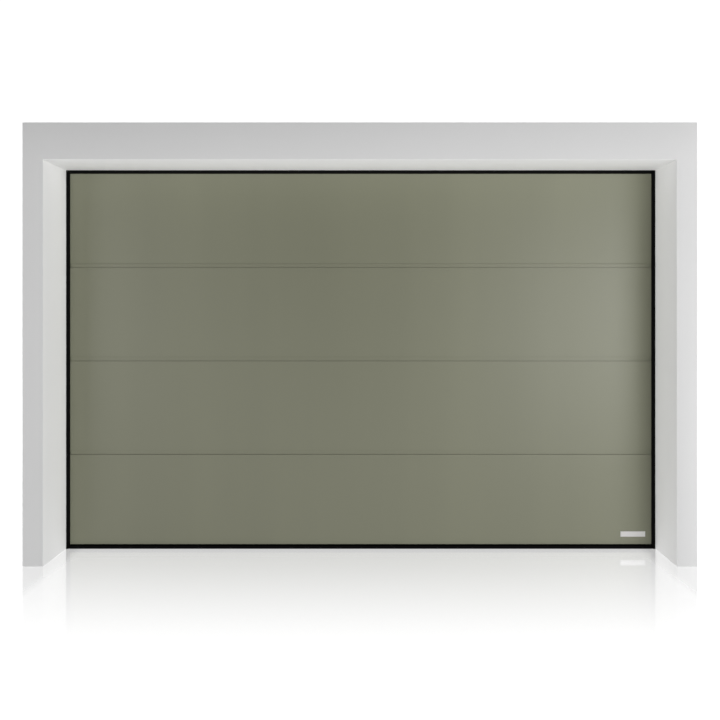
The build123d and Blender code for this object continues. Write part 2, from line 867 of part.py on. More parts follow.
# Taut lift cables: a lug on the bottom bracket's stud, straight up and over the drum
lug_bore = stud_radius + cone_clearance
with BuildPart() as lift_cables:
    with BuildSketch(Plane.YZ.offset(cable_x - cable_radius)) as lug:
        with Locations((cable_y, stud_z)):
            small_round(lug_bore + 2 * cable_radius)
            small_round(lug_bore, mode=Mode.SUBTRACT)
    extrude(amount=2 * cable_radius)
    with BuildSketch(Plane((cable_x, cable_y, stud_z + lug_bore + cable_radius))) as strand:
        RegularPolygon(cable_radius, cable_sides)
    extrude(strand.sketch, amount=shaft_z - stud_z - lug_bore - cable_radius)
    with BuildSketch(Plane((cable_x, cable_y, shaft_z))) as wrap:
        RegularPolygon(cable_radius, cable_sides)
    revolve(wrap.sketch, axis=Axis((0, shaft_y, shaft_z), (-1, 0, 0)), revolution_arc=270)
    mirror(about=Plane.YZ)
finished["lift_cables"] = lift_cables

os.makedirs("parts", exist_ok=True)
for name, piece in finished.items():
    piece.part.label = name
    export_step(piece.part, f"parts/{name}.step")
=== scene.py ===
# %% [markdown]
# A sectional door closes a doorway with a few stiff steel sections that hinge on each other. As it opens,
# their rollers run up two tracks, round a bend and back under the ceiling, and springs on a shaft above the
# doorway carry the weight. The frame that is loaded here holds those parts as named nodes at their real
# sizes. This lesson gives each node its finish, and adds what is too small or too soft for the frame: the
# smooth render on the masonry, the coils of the springs, a bare plate, bolts and screws.

# %% Load the frame
import json
from math import cos, pi, radians, sin, tau

import bmesh
import bpy
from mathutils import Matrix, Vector


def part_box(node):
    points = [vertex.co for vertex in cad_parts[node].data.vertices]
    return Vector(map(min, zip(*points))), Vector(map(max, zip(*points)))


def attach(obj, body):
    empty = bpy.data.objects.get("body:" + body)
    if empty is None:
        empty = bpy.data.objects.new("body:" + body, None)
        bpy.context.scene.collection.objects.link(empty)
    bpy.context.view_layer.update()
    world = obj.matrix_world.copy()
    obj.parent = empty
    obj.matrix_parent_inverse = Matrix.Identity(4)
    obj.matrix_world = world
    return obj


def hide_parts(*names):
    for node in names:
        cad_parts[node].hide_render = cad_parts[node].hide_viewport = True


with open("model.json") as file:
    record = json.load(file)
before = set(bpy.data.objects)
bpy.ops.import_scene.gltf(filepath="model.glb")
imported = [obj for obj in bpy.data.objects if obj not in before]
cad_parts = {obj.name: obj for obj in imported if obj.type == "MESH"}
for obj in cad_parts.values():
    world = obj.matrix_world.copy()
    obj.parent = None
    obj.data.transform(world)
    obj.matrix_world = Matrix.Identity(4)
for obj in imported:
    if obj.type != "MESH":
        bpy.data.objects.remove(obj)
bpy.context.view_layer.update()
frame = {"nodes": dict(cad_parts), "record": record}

MM = 0.001
nodes = frame["nodes"]

# %% [markdown]
# Everything added later has to fit the frame, so its places are read from the frame's own boxes and never
# typed in again. The portal gives the first ones: X runs along the wall, Y through it towards the inside,
# and Z up. The two jambs are alike, so the right one also gives the left one's places.

# %% Places on the portal
wall_low, wall_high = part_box("jamb_right")
lintel_low, lintel_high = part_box("lintel")
opening_x, outer_x = wall_low.x, wall_high.x
wall_front, wall_rear = wall_low.y, wall_high.y
opening_z, wall_top = lintel_low.z, lintel_high.z
print("doorway", round(2 * opening_x, 3), "by", round(opening_z, 3), "m in a wall of", round(2 * outer_x, 3))

# %% [markdown]
# The view is straight from outside, as a catalogue shows a door. A camera that is tilted down to show more
# floor makes the jambs lean, so this one stays level and only its lens is shifted, as on a view camera.
# Its distance sets how deep the reveals look, so it is measured from the wall's rear face.

# %% Camera
camera_aside, camera_distance, camera_height = 68 * MM, 4237 * MM, 1398 * MM
focal_length, sensor_width = 35.65, 36.0
shift_aside, shift_up = -0.0169, -0.0643

view = bpy.data.cameras.new("view")
view.lens = focal_length
view.sensor_width = sensor_width
view.shift_x = shift_aside
view.shift_y = shift_up
camera = bpy.data.objects.new("camera", view)
camera.location = (camera_aside, wall_rear - camera_distance, camera_height)
camera.rotation_euler = (pi / 2, 0.0, 0.0)
bpy.context.scene.collection.objects.link(camera)
bpy.context.scene.camera = camera
print("camera at", tuple(round(value, 3) for value in camera.location))

# %% [markdown]
# A material here is a small sum: position in, colour and roughness out. Wired by hand it takes dozens of
# links, and written as Python it reads like the sum itself. This class wraps one output of a node, and each
# operator on it adds the Math node that does the work. The reflected forms are there so that 1 - mask works.

# %% Shader arithmetic
class Wire:
    """One output of a tree's nodes. Arithmetic on it adds Math nodes."""

    def __init__(self, tree, socket=None):
        self.tree = tree
        self.socket = socket

    def node(self, kind, settings=None, inputs=None, output=0):
        """Adds any node: its settings first, then the values or links of its sockets."""
        made = self.tree.nodes.new("ShaderNode" + kind)
        for key, value in (settings or {}).items():
            setattr(made, key, value)
        for key, value in (inputs or {}).items():
            if isinstance(value, Wire):
                self.tree.links.new(value.socket, made.inputs[key])
            else:
                made.inputs[key].default_value = value
        return Wire(self.tree, made.outputs[output])

    def math(self, operation, second=0.0):
        """This and a second value through one Math node."""
        return self.node("Math", {"operation": operation}, {0: self, 1: second})

    def __add__(self, other):
        return self.math("ADD", other)

    def __sub__(self, other):
        return self.math("SUBTRACT", other)

    def __rsub__(self, other):
        return self.node("Math", {"operation": "SUBTRACT"}, {0: other, 1: self})

    def __mul__(self, other):
        return self.math("MULTIPLY", other)

    def __pow__(self, other):
        return self.math("POWER", other)

    __radd__ = __add__
    __rmul__ = __mul__

    def size(self):
        """This without its sign."""
        return self.math("ABSOLUTE")

    def between(self, low, high):
        """0 below low, 1 above high and a smooth step between them."""
        return self.node("MapRange", {"interpolation_type": "SMOOTHSTEP"}, {0: self, 1: low, 2: high})

    def part(self, axis):
        """One coordinate of this vector."""
        return self.node("SeparateXYZ", None, {0: self}, axis)

    def stretched(self, x, y, z):
        """This vector scaled, so that a pattern on it runs long where a number is small."""
        return self.node("Mapping", None, {"Vector": self, "Scale": (x, y, z)})

    def noise(self, scale, detail=2.0, roughness=0.5):
        """Noise at this vector, from 0 to 1."""
        inputs = {"Vector": self, "Scale": scale, "Detail": detail, "Roughness": roughness}
        return self.node("TexNoise", None, inputs, "Fac")

    def mix(self, first, second):
        """The first colour where this is 0 and the second where it is 1."""
        return self.node("Mix", {"data_type": "RGBA"}, {0: self, 6: first, 7: second}, 2)

    def bump(self, distance):
        """The normal of a surface that this height stands out of."""
        return self.node("Bump", None, {"Height": self, "Distance": distance, "Strength": 1.0})

    def into(self, shader, socket):
        """Feeds this output into a socket of the shader."""
        self.tree.links.new(self.socket, shader.inputs[socket])


print("a Wire also has", ", ".join(name for name in vars(Wire) if not name.startswith("_")))

# %% [markdown]
# Every finish is one Principled shader. What is the same all over is set on it once, and what changes over
# the surface is wired in later. Patterns read Object coordinates, which on these pieces are metres from the
# door's own origin, so a pattern keeps its real scale and its place.

# %% A new finish
finishes = {}


def material(name, constants):
    """A new material with its constant values. Returns it, its Object coordinates and its shader."""
    made = bpy.data.materials.new(name)
    made.use_nodes = True
    tree = made.node_tree
    tree.nodes.clear()
    shader = Wire(tree).node("BsdfPrincipled")
    for key, value in constants.items():
        shader.socket.node.inputs[key].default_value = value
    surface = tree.nodes.new("ShaderNodeOutputMaterial")
    tree.links.new(shader.socket, surface.inputs["Surface"])
    position = Wire(tree).node("TexCoord", output="Object")
    return made, position, shader.socket.node


def grey(level, warmth=0.0):
    """A near-neutral colour from its brightness."""
    return (level * (1 + warmth), level, level * (1 - warmth), 1.0)


print("mid grey is", grey(0.5))

# %% [markdown]
# The masonry is plastered and painted white. From afar that looks even, but close up a trowel leaves soft
# clouds, shallow float marks and fine sand. A photograph of plaster would repeat over a wall this large.
# One noise per scale doesn't: the clouds change the colour, and the other two only the surface. The paint is
# a little lighter towards the leaf, in place of the light that a white floor would throw into the recess.

# %% Plaster
wall_white, lighter_inward, cloud_depth = 0.798, 0.12, 0.03
grain_height = 0.1 * MM

finishes["plaster"], place_on, shader = material("plaster", {"Roughness": 0.85, "Specular IOR Level": 0.15})
clouds = place_on.noise(2.5, 4.0) * cloud_depth
inward = place_on.part(1).between(wall_front, wall_rear) * lighter_inward
(clouds + inward + wall_white).mix(grey(0.0), grey(1.0)).into(shader, "Base Color")
sand, float_marks = place_on.noise(700.0, 3.0), place_on.noise(90.0, 3.0) * 2.0
(sand + float_marks).bump(grain_height).into(shader, "Normal")
print("plaster from", wall_white, "to", wall_white + lighter_inward)

# %% [markdown]
# The sections are foam between two steel sheets. The outer sheet is smooth and lacquered in a grey olive,
# but foam never pulls it quite flat, so reflections run in faint upright bands. Noise that is stretched
# along Z gives the long shallow waves in the surface, and the same bands are painted into the colour as
# lighter and darker olive: painted reflection. The inner sheet is pale and has a pressed stucco grain. One
# material does both, because the Y of a point says which it is on.

# %% Lacquered sections
olive_dim_reflection, olive_bright_reflection = (0.196, 0.200, 0.141, 1.0), (0.228, 0.232, 0.161, 1.0)
inner_grey = grey(0.62)
wave_height, stucco_height = 2.2 * MM, 0.3 * MM

finishes["leaf_steel"], place_on, shader = material("leaf_steel", {"IOR": 1.5})
inner = place_on.part(1).between(0.0, 2 * MM)
bands = place_on.stretched(1.0, 0.05, 0.08).noise(2.6, 3.0, 0.45)
# Painted reflection: the olive lightens and darkens in upright bands where the lacquer would mirror the
# studio.
inner.mix(bands.mix(olive_dim_reflection, olive_bright_reflection), inner_grey).into(shader, "Base Color")
(bands * 0.10 + 0.36).into(shader, "Roughness")
waves = place_on.stretched(1.0, 0.1, 0.16).noise(3.2, 2.0) * wave_height
stucco = place_on.noise(420.0, 2.0).between(0.42, 0.6) * inner * stucco_height
(waves + stucco).bump(1.0).into(shader, "Normal")
print("lacquer from", olive_dim_reflection[:3], "to", olive_bright_reflection[:3])

# %% [markdown]
# Black EPDM lips seal all four sides. The rubber is matt and returns almost no light, so its specular level
# is near zero, and only a fine grain keeps it from looking like a hole. The shoes under the frame's legs are
# a harder black plastic, with a dull shine.

# %% Rubber and black plastic
finishes["seal_rubber"], place_on, shader = material(
    "seal_rubber", {"Roughness": 0.6, "Specular IOR Level": 0.04}
)
place_on.noise(60.0, 3.0).mix(grey(0.002), grey(0.005)).into(shader, "Base Color")
place_on.noise(1500.0, 2.0).bump(0.04 * MM).into(shader, "Normal")

finishes["shoe_plastic"], place_on, shader = material("shoe_plastic", {"Roughness": 0.5})
place_on.noise(80.0, 3.0).mix(grey(0.008), grey(0.014)).into(shader, "Base Color")
place_on.noise(900.0, 2.0).bump(0.05 * MM).into(shader, "Normal")
print("finishes so far:", ", ".join(finishes))

# %% [markdown]
# Tracks, frame and hinges are hot-dipped: the zinc freezes into large flat crystals that differ in
# brightness. A Voronoi texture has just such cells, and one of its random colours per cell drives both the
# grey and the roughness, so that a pale crystal is also the duller one.

# %% Zinc-coated sheet
crystals_per_metre = 95.0

finishes["galvanised_steel"], place_on, shader = material("galvanised_steel", {"Metallic": 0.9})
cells = {"Vector": place_on, "Scale": crystals_per_metre}
crystals = place_on.node("TexVoronoi", {"feature": "F1"}, cells, "Color").part(0)
crystals.mix(grey(0.40, -0.01), grey(0.56, -0.01)).into(shader, "Base Color")
(crystals * 0.16 + 0.38).into(shader, "Roughness")
place_on.noise(300.0, 2.0).bump(0.05 * MM).into(shader, "Normal")
print("zinc crystals about", round(1000 / crystals_per_metre, 1), "mm wide")

# %% [markdown]
# Shaft, pins and stems are turned or drawn, which leaves fine lines. Plain noise gives them when it is
# stretched fifty times along X, where these parts lie. Spring wire is oiled and nearly black, so its sheen
# varies more than its colour. The strands of a cable cross it at a slant, and a sine of the position along
# and across it raises them in the surface and paints their light and dark into the colour: painted shade
# in the grooves between strands and a painted highlight on their crests.

# %% Turned, spring and cable steel
strand_height = 0.3 * MM

finishes["turned_steel"], place_on, shader = material("turned_steel", {"Metallic": 1.0})
scratches = place_on.stretched(0.02, 1.0, 1.0).noise(1200.0, 2.0)
scratches.mix(grey(0.46), grey(0.62)).into(shader, "Base Color")
(scratches * 0.15 + 0.22).into(shader, "Roughness")

finishes["spring_steel"], place_on, shader = material("spring_steel", {"Metallic": 0.85})
place_on.noise(30.0, 4.0).mix(grey(0.035), grey(0.075)).into(shader, "Base Color")
(place_on.noise(45.0, 2.0) * 0.25 + 0.25).into(shader, "Roughness")

finishes["cable_steel"], place_on, shader = material("cable_steel", {"Metallic": 0.9, "Roughness": 0.42})
strands = (place_on.part(2) * 900.0 + place_on.part(0) * 1400.0).math("SINE")
# Painted shade and highlight: the colour is darker in the grooves between strands and lighter on their
# crests.
(strands * 0.5 + 0.5).mix(grey(0.22), grey(0.5)).into(shader, "Base Color")
strands.bump(strand_height).into(shader, "Normal")
print("steels:", ", ".join(name for name in finishes if "steel" in name))

# %% [markdown]
# Drums and cones are cast: the surface is evenly rough and slightly blotched. The rail under the lowest
# section is extruded, so it has drawn lines like the turned steel, only paler. The roller tyres are white
# nylon, which needs hardly more than a faint warmth.

# %% Aluminium and white plastic
casting_height = 0.2 * MM

finishes["cast_aluminium"], place_on, shader = material("cast_aluminium", {"Metallic": 1.0})
place_on.noise(60.0, 4.0).mix(grey(0.50), grey(0.62)).into(shader, "Base Color")
(place_on.noise(200.0, 3.0) * 0.2 + 0.4).into(shader, "Roughness")
place_on.noise(500.0, 3.0).bump(casting_height).into(shader, "Normal")

finishes["rail_aluminium"], place_on, shader = material("rail_aluminium", {"Metallic": 1.0})
drawn = place_on.stretched(0.02, 1.0, 1.0).noise(900.0, 2.0)
drawn.mix(grey(0.60), grey(0.72)).into(shader, "Base Color")
(drawn * 0.12 + 0.30).into(shader, "Roughness")

finishes["white_plastic"], place_on, shader = material("white_plastic", {"Roughness": 0.4})
place_on.noise(40.0, 3.0).mix(grey(0.74, 0.02), grey(0.79, 0.02)).into(shader, "Base Color")
print(len(finishes), "finishes in all")

# %% [markdown]
# The frame's record names a finish for every node. A list typed in here could fall out of step with it, so
# the names are read from the record, and a name without a finish stops the script at once.

# %% Finishes on the nodes
slot_names = {row["node"]: row["material_slot"] for row in frame["record"]["subparts"]}
for name, node in nodes.items():
    node.data.materials.clear()
    node.data.materials.append(finishes[slot_names[name]])
print({slot: list(slot_names.values()).count(slot) for slot in finishes})

# %% [markdown]
# New pieces start as primitives at their size and place, and are shaped in edit mode as by hand. Operators
# act on all that is selected, and the frame's nodes are selected after loading. So each helper here first
# deselects everything, and then takes up one piece. A finished piece has its place in its mesh and its
# object at the origin, as the nodes have.

# %% Taking up and placing a piece
def only(piece):
    """Leaves one piece, or none, selected and active."""
    if bpy.context.object and bpy.context.object.mode != "OBJECT":
        bpy.ops.object.mode_set(mode="OBJECT")
    bpy.ops.object.select_all(action="DESELECT")
    if piece:
        piece.select_set(True)
        bpy.context.view_layer.objects.active = piece


def settle(piece):
    """Puts a piece's place, turn and scale into its mesh."""
    only(piece)
    bpy.ops.object.transform_apply(location=True, rotation=True, scale=True)
    return piece


def begin(name, primitive, scale=(1, 1, 1), **settings):
    """Adds a primitive at its size and place."""
    only(None)
    getattr(bpy.ops.mesh, f"primitive_{primitive}_add")(**settings)
    piece = bpy.context.object
    piece.name = name
    piece.scale = scale
    return settle(piece)


def place(piece, slot, *replaced):
    """Rides a finished piece on the door and hides the frame nodes that it replaces; its slot is not used.
    """
    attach(piece, "root")
    if replaced:
        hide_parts(*replaced)
    print(piece.name, len(piece.data.polygons), "faces")
    return piece


# %% [markdown]
# In edit mode, faces are picked by where they are or which way they face, because a face's number changes
# with each edit. Modifiers are applied at once, so that the mesh is always what it seems.

# %% Shaping a piece
sharp_angle = 30


def open_mesh(piece):
    """Opens a piece in edit mode with nothing selected."""
    only(piece)
    bpy.ops.object.mode_set(mode="EDIT")
    bpy.ops.mesh.select_mode(type="FACE")
    bpy.ops.mesh.select_all(action="DESELECT")


def pick(piece, wanted):
    """Selects the open mesh's faces for which wanted(centre, normal) holds, and counts them."""
    mesh = bmesh.from_edit_mesh(piece.data)
    chosen = 0
    for face in mesh.faces:
        face.select = bool(wanted(face.calc_center_median(), face.normal))
        chosen += face.select
    bmesh.update_edit_mesh(piece.data)
    return chosen


def modify(piece, kind, **settings):
    """Adds a modifier and applies it."""
    only(piece)
    modifier = piece.modifiers.new(kind.title(), kind)
    for key, value in settings.items():
        setattr(modifier, key, value)
    bpy.ops.object.modifier_apply(modifier=modifier.name)


def smooth(piece, angle=sharp_angle):
    """Shades a piece smooth across its shallow edges."""
    only(piece)
    bpy.ops.object.shade_smooth_by_angle(angle=radians(angle))


def chamfer(piece, width, segments=2, angle=sharp_angle):
    """Rounds the sharp edges of a finished shape."""
    modify(piece, "BEVEL", width=width, segments=segments, limit_method="ANGLE", angle_limit=radians(angle))


print("edges count as sharp from", sharp_angle, "degrees")

# %% [markdown]
# Jambs and lintel are plastered in one go, so no joint shows between them, though the frame has three
# solids. Joining those would leave their seams. It is cleaner to cut an upright plane along the doorway's
# edges, take the doorway's face out and push the rest to the wall's depth. The corners are then rounded as
# a trowel leaves them.

# %% Plastered portal
plaster_corner = 3 * MM

portal = begin(
    "portal", "plane", (outer_x, wall_top / 2, 1.0), size=2.0,
    location=(0, wall_front, wall_top / 2), rotation=(pi / 2, 0, 0),
)
open_mesh(portal)
cuts = (((-opening_x, 0, 0), (1, 0, 0)), ((opening_x, 0, 0), (1, 0, 0)), ((0, 0, opening_z), (0, 0, 1)))
for point, direction in cuts:
    bpy.ops.mesh.select_all(action="SELECT")
    bpy.ops.mesh.bisect(plane_co=point, plane_no=direction)
bpy.ops.mesh.select_all(action="DESELECT")
doorway = pick(portal, lambda centre, normal: abs(centre.x) < opening_x and centre.z < opening_z)
bpy.ops.mesh.delete(type="FACE")
bpy.ops.mesh.select_all(action="SELECT")
bpy.ops.mesh.extrude_region_move(TRANSFORM_OT_translate={"value": (0, wall_rear - wall_front, 0)})
bpy.ops.mesh.select_all(action="SELECT")
bpy.ops.mesh.normals_make_consistent(inside=False)
chamfer(portal, plaster_corner, 3)
smooth(portal)
portal.data.materials.append(finishes["plaster"])
print(doorway, "face cut out for the doorway")
place(portal, "plaster", "jamb_left", "jamb_right", "lintel")

# %% [markdown]
# A thin plate is fixed low down on the right of the leaf, and is bare here. A cube alone would look cut
# from card. Two insets and a small push inwards press a border into its face, and a rounded edge catches
# the light. It is whiter and glossier than the nylon, so it gets a finish of its own.

# %% Bare plate on the leaf
leaf_low, leaf_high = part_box("bottom_section")
plate_width, plate_height, plate_depth = 147 * MM, 31.5 * MM, 2 * MM
plate_x, plate_z = 1621 * MM, 85.6 * MM
border, border_slope, border_depth, plate_edge = 2.5 * MM, 0.5 * MM, 0.3 * MM, 0.2 * MM

plate = begin(
    "bare_plate", "cube", (plate_width, plate_depth, plate_height), size=1.0,
    location=(plate_x, leaf_low.y - plate_depth / 2, plate_z),
)
open_mesh(plate)
pick(plate, lambda centre, normal: normal.y < -0.9)
bpy.ops.mesh.inset(thickness=border)
bpy.ops.mesh.inset(thickness=border_slope)
bpy.ops.transform.translate(value=(0, border_depth, 0))
chamfer(plate, plate_edge, 2)
smooth(plate)
plate_finish, place_on, shader = material("plate_white", {"Roughness": 0.35})
place_on.noise(50.0, 3.0).mix(grey(0.91, 0.015), grey(0.95, 0.015)).into(shader, "Base Color")
plate.data.materials.append(plate_finish)
place(plate, "white_plastic")

# %% [markdown]
# A torsion spring is one wire wound tightly, coil against coil. The frame has a plain tube in its place.
# A curve with a round bevel could follow a helix, but it has to be drawn first. The Screw modifier winds one
# small circle round the shaft, and needs only the number of turns: one for each wire's thickness of length.

# %% Sizes of the springs
shaft_low, shaft_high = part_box("torsion_shaft")
shaft_y, shaft_z = (shaft_low.y + shaft_high.y) / 2, (shaft_low.z + shaft_high.z) / 2
spring_low, spring_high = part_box("torsion_springs")
wire = 5.6 * MM
coil_radius = spring_high.z - shaft_z - wire / 2
spring_start = 22 * MM
turns = round((spring_high.x - spring_start) / wire) - 1
print(turns, "turns of", round(wire / MM, 1), "mm wire, radius", round(coil_radius / MM, 1))

# %% [markdown]
# The circle is wound for each side on its own, since the left spring is the mirror image of the right one.
# Both cut ends are closed with a face. A mirrored mesh has its faces inside out, so the normals are worked
# out again before the two are joined.

# %% Coils of the springs
def wound(side):
    """One spring's coils, to the right (1) or to the left (-1) of the middle."""
    coil = begin(
        "spring_coil", "circle", vertices=8, radius=wire / 2, fill_type="NOTHING", rotation=(pi / 2, 0, 0),
    )
    open_mesh(coil)
    bpy.ops.mesh.select_all(action="SELECT")
    bpy.ops.transform.translate(value=(spring_start + wire / 2, 0, coil_radius))
    bpy.ops.object.mode_set(mode="OBJECT")
    modify(
        coil, "SCREW", axis="X", angle=tau, screw_offset=wire, iterations=turns,
        steps=14, render_steps=14, use_normal_calculate=True,
    )
    open_mesh(coil)
    bpy.ops.mesh.select_mode(type="EDGE")
    bpy.ops.mesh.select_non_manifold(extend=False, use_wire=False, use_multi_face=False, use_verts=False)
    bpy.ops.mesh.edge_face_add()
    bpy.ops.object.mode_set(mode="OBJECT")
    coil.location = (0, shaft_y, shaft_z)
    coil.scale = (side, 1, 1)
    settle(coil)
    open_mesh(coil)
    bpy.ops.mesh.select_all(action="SELECT")
    bpy.ops.mesh.normals_make_consistent(inside=False)
    smooth(coil, 50)
    return coil


springs = [wound(1), wound(-1)]
only(springs[0])
springs[1].select_set(True)
bpy.ops.object.join()
coils = bpy.context.object
coils.name = "spring_coils"
coils.data.materials.clear()
coils.data.materials.append(finishes["spring_steel"])
place(coils, "spring_steel", "torsion_springs")

# %% [markdown]
# Small fasteners are the same few shapes at many places. One head is modelled on its washer, standing on
# the origin, and each copy is turned to its place's direction. Copies with a mesh of their own can be
# joined into one piece, which names one finish for all of them.

# %% One head and its copies
washer_thickness, head_edge = 1.5 * MM, 0.8 * MM


def head(name, sides, radius, height, washer):
    """A bolt's or screw's head on its washer, along +Z."""
    disc = begin(
        name + "_washer", "cylinder", vertices=20, radius=washer, depth=washer_thickness,
        location=(0, 0, washer_thickness / 2),
    )
    nut = begin(
        name, "cylinder", vertices=sides, radius=radius, depth=height,
        location=(0, 0, washer_thickness + height / 2),
    )
    chamfer(nut, head_edge, angle=50)
    only(nut)
    disc.select_set(True)
    bpy.ops.object.join()
    return bpy.context.object


def copies(original, slot, places):
    """Joins one copy of the original per (point, direction) into a piece of the original's name."""
    name, made = original.name, []
    for point, towards in places:
        only(original)
        bpy.ops.object.duplicate()
        copy = bpy.context.object
        copy.location = point
        copy.rotation_euler = Vector(towards).to_track_quat("Z", "Y").to_euler()
        made.append(copy)
    only(original)
    bpy.ops.object.delete()
    only(made[0])
    for copy in made:
        copy.select_set(True)
    bpy.ops.object.join()
    piece = settle(bpy.context.object)
    piece.name = name
    piece.data.materials.clear()
    piece.data.materials.append(finishes[slot])
    smooth(piece, 35)
    return place(piece, slot)


def both_sides(places):
    """The places and their mirror images on the left."""
    mirrored = [((-x, y, z), (-a, b, c)) for (x, y, z), (a, b, c) in places]
    return places + mirrored


print("a place and its mirror image:", both_sides([((1, 2, 3), (1, 0, 0))]))

# %% [markdown]
# Hinges are screwed to the sections, two abreast. The hinges' axes lie where two sections part at the rear,
# so the lowest points of the upper three sections give their heights. Each screw stands on the sheet that
# it holds: 2.5 mm thick on the centre hinges, 4 mm on the side hinges and brackets.

# %% Hinge screws
back = (0, 1, 0)
leaf_rear = leaf_high.y
upper_sections = ("lower_middle_section", "upper_middle_section", "top_section")
hinge_heights = [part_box(name)[0].z - 2 * MM for name in upper_sections]
drops = [-56 * MM, -20 * MM, 22 * MM, 76 * MM]
abreast = 14 * MM
thin_sheet, thick_sheet = 2.5 * MM, 4 * MM
centre_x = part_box("centre_hinge_upper_leaves")[1].x - 25 * MM
side_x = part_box("end_caps")[1].x - 30 * MM
bottom_x = side_x - 8 * MM
top_low, top_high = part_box("top_brackets")
bottom_low, bottom_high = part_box("bottom_brackets")

screws = []
for shift in (-abreast, abreast):
    for z in hinge_heights:
        for drop in drops:
            screws.append(((centre_x + shift, leaf_rear + thin_sheet, z + drop), back))
            screws.append(((side_x + shift, leaf_rear + thick_sheet, z + drop), back))
    for z in (top_low.z + 15 * MM, top_high.z - 15 * MM):
        screws.append(((side_x + shift, leaf_rear + thick_sheet, z), back))
    for z in (bottom_low.z + 12 * MM, bottom_high.z - 12 * MM):
        screws.append(((bottom_x + shift, leaf_rear + thick_sheet, z), back))
hinge_screw = head("hinge_screws", sides=6, radius=5.5 * MM, height=4 * MM, washer=7 * MM)
copies(hinge_screw, "turned_steel", both_sides(screws))

# %% [markdown]
# Larger bolts hold the frame to the wall, and the tracks, hangers and crossbar to the frame's angles. Rows
# of them share a line and differ only in height or depth, so each row is one list over those numbers.

# %% Places of the frame's bolts
outward = (1, 0, 0)
sheet = 2 * MM
frame_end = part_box("side_frame_right")[1].x
track_low, track_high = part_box("vertical_track_right")
level_low, level_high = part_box("horizontal_track_right")
track_y, level_z = (track_low.y + track_high.y) / 2, (level_low.z + level_high.z) / 2
hangers_low, hangers_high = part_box("ceiling_hangers")
bar_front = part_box("rear_crossbar")[0].y
bearing_low, bearing_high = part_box("end_bearing_plates")
jamb_heights, header_places = (0.3, 0.75, 1.2, 1.65, 2.1), (0.35, 1.05, 1.6)
angle_heights, angle_depths = (0.25, 0.8, 1.35, 1.85), (0.5, 1.0, 1.8, 2.3)
flag_places = ((0.03, 2.16), (0.03, 2.22), (0.24, 2.31), (0.29, 2.31))
hanger_depths = (hangers_low.y + 15 * MM, hangers_high.y - 15 * MM)

bolts = [((frame_end - 40 * MM, wall_rear + sheet, z), back) for z in jamb_heights]
bolts += [((x, wall_rear + sheet, opening_z + 42 * MM), back) for x in header_places]
bolts += [((frame_end, track_y, z), outward) for z in angle_heights]
bolts += [((frame_end, y, level_z), outward) for y in angle_depths]
bolts += [((frame_end + thin_sheet, y, z), outward) for y, z in flag_places]
for z in (level_z - 8 * MM, level_z + 22 * MM):
    bolts += [((frame_end + sheet, y, z), outward) for y in hanger_depths]
for z in (level_z - 12 * MM, level_z + 22 * MM):
    bolts.append(((frame_end - 20 * MM, bar_front + sheet, z), back))
for z in (bearing_low.z + 16 * MM, bearing_high.z - 16 * MM):
    bolts += [((x, wall_rear + thin_sheet, z), back) for x in (frame_end - 52 * MM, 30 * MM)]
print(len(bolts), "bolts on each side")

# %% [markdown]
# The list holds the right side only, and the left side's bolts are its mirror image. A Mirror modifier would
# do that too, but it turns each head inside out first and mends it after. Here only the place and direction
# of a copy change sign, and the head stays as it was modelled.

# %% Frame bolts
frame_bolt = head("frame_bolts", sides=6, radius=7.5 * MM, height=5.5 * MM, washer=9.5 * MM)
copies(frame_bolt, "turned_steel", both_sides(bolts))

# %% [markdown]
# Drums and winding cones are clamped on the shaft by square-headed set screws, two on each. They point away
# from the shaft at a slant, where a spanner reaches them from inside the garage.

# %% Set screws
drum_end, cone_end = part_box("cable_drums")[1].x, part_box("spring_cones")[1].x
hub_reach, cone_reach = 21.5 * MM, 32 * MM

set_screws = []
for x, reach in ((drum_end - 16 * MM, hub_reach), (cone_end - 10 * MM, cone_reach)):
    for angle in (45, 135):
        y, z = cos(radians(angle)), sin(radians(angle))
        set_screws.append(((x, shaft_y + reach * y, shaft_z + reach * z), (0, y, z)))
set_screw = head("set_screws", sides=4, radius=5.5 * MM, height=8 * MM, washer=5.6 * MM)
copies(set_screw, "turned_steel", both_sides(set_screws))

# %% [markdown]
# Each lift cable ends in an eye on the bottom bracket, closed by a ferrule that is pressed on the wire just
# above it. A pressed ferrule is a plain sleeve, so a cylinder with rounded ends does, and the helper that
# sets the bolts also sets these.

# %% Cable ferrules
cable_x, cable_y = drum_end - 40.5 * MM, shaft_y - 50 * MM
ferrule_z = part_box("lift_cables")[0].z + 34 * MM

ferrule = begin("cable_ferrules", "cylinder", vertices=16, radius=3.4 * MM, depth=20 * MM)
chamfer(ferrule, head_edge, angle=50)
copies(ferrule, "cast_aluminium", both_sides([((cable_x, cable_y, ferrule_z), (0, 0, 1))]))

# %% [markdown]
# The floor isn't part of the door. It is white and polished: near the door it mirrors it, and further off
# the mirror image fades into white. A real glossy floor would mirror as strongly everywhere and grow darker
# under the wall, so here the mirror is a second shader whose share shrinks with the distance from what it
# mirrors, which is the leaf inside the recess and the wall beside it. The floor glows by itself in place
# of light, and doesn't throw light on the walls. Its glow is dimmer close to the door and the wall: painted
# shade where they would shadow the floor.

# %% Floor
near_white_painted_shade, far_white = grey(0.895), grey(1.05)
whiter_from, whitest_from = 0.8, 2.5
fade_start, fade_end = -0.05, 1.45
wall_mirror, leaf_mirror = 0.50, 0.37
blend_start, blend_end = opening_x - 0.12, opening_x - 0.02

floor = begin("floor", "plane", size=40.0)
finish, place_on, shader = material(
    "floor", {"Roughness": 1.0, "Base Color": grey(0.15), "Emission Strength": 1.0}
)
aside, inwards = place_on.part(0).size(), place_on.part(1)
inside = 1.0 - aside.between(blend_start, blend_end)
before = inside * (leaf_low.y - wall_front) - (inwards - wall_front)
beside = (aside - outer_x).math("MAXIMUM", 0.0)
away = before.math("MAXIMUM", (inwards - wall_rear).math("MAXIMUM", beside))
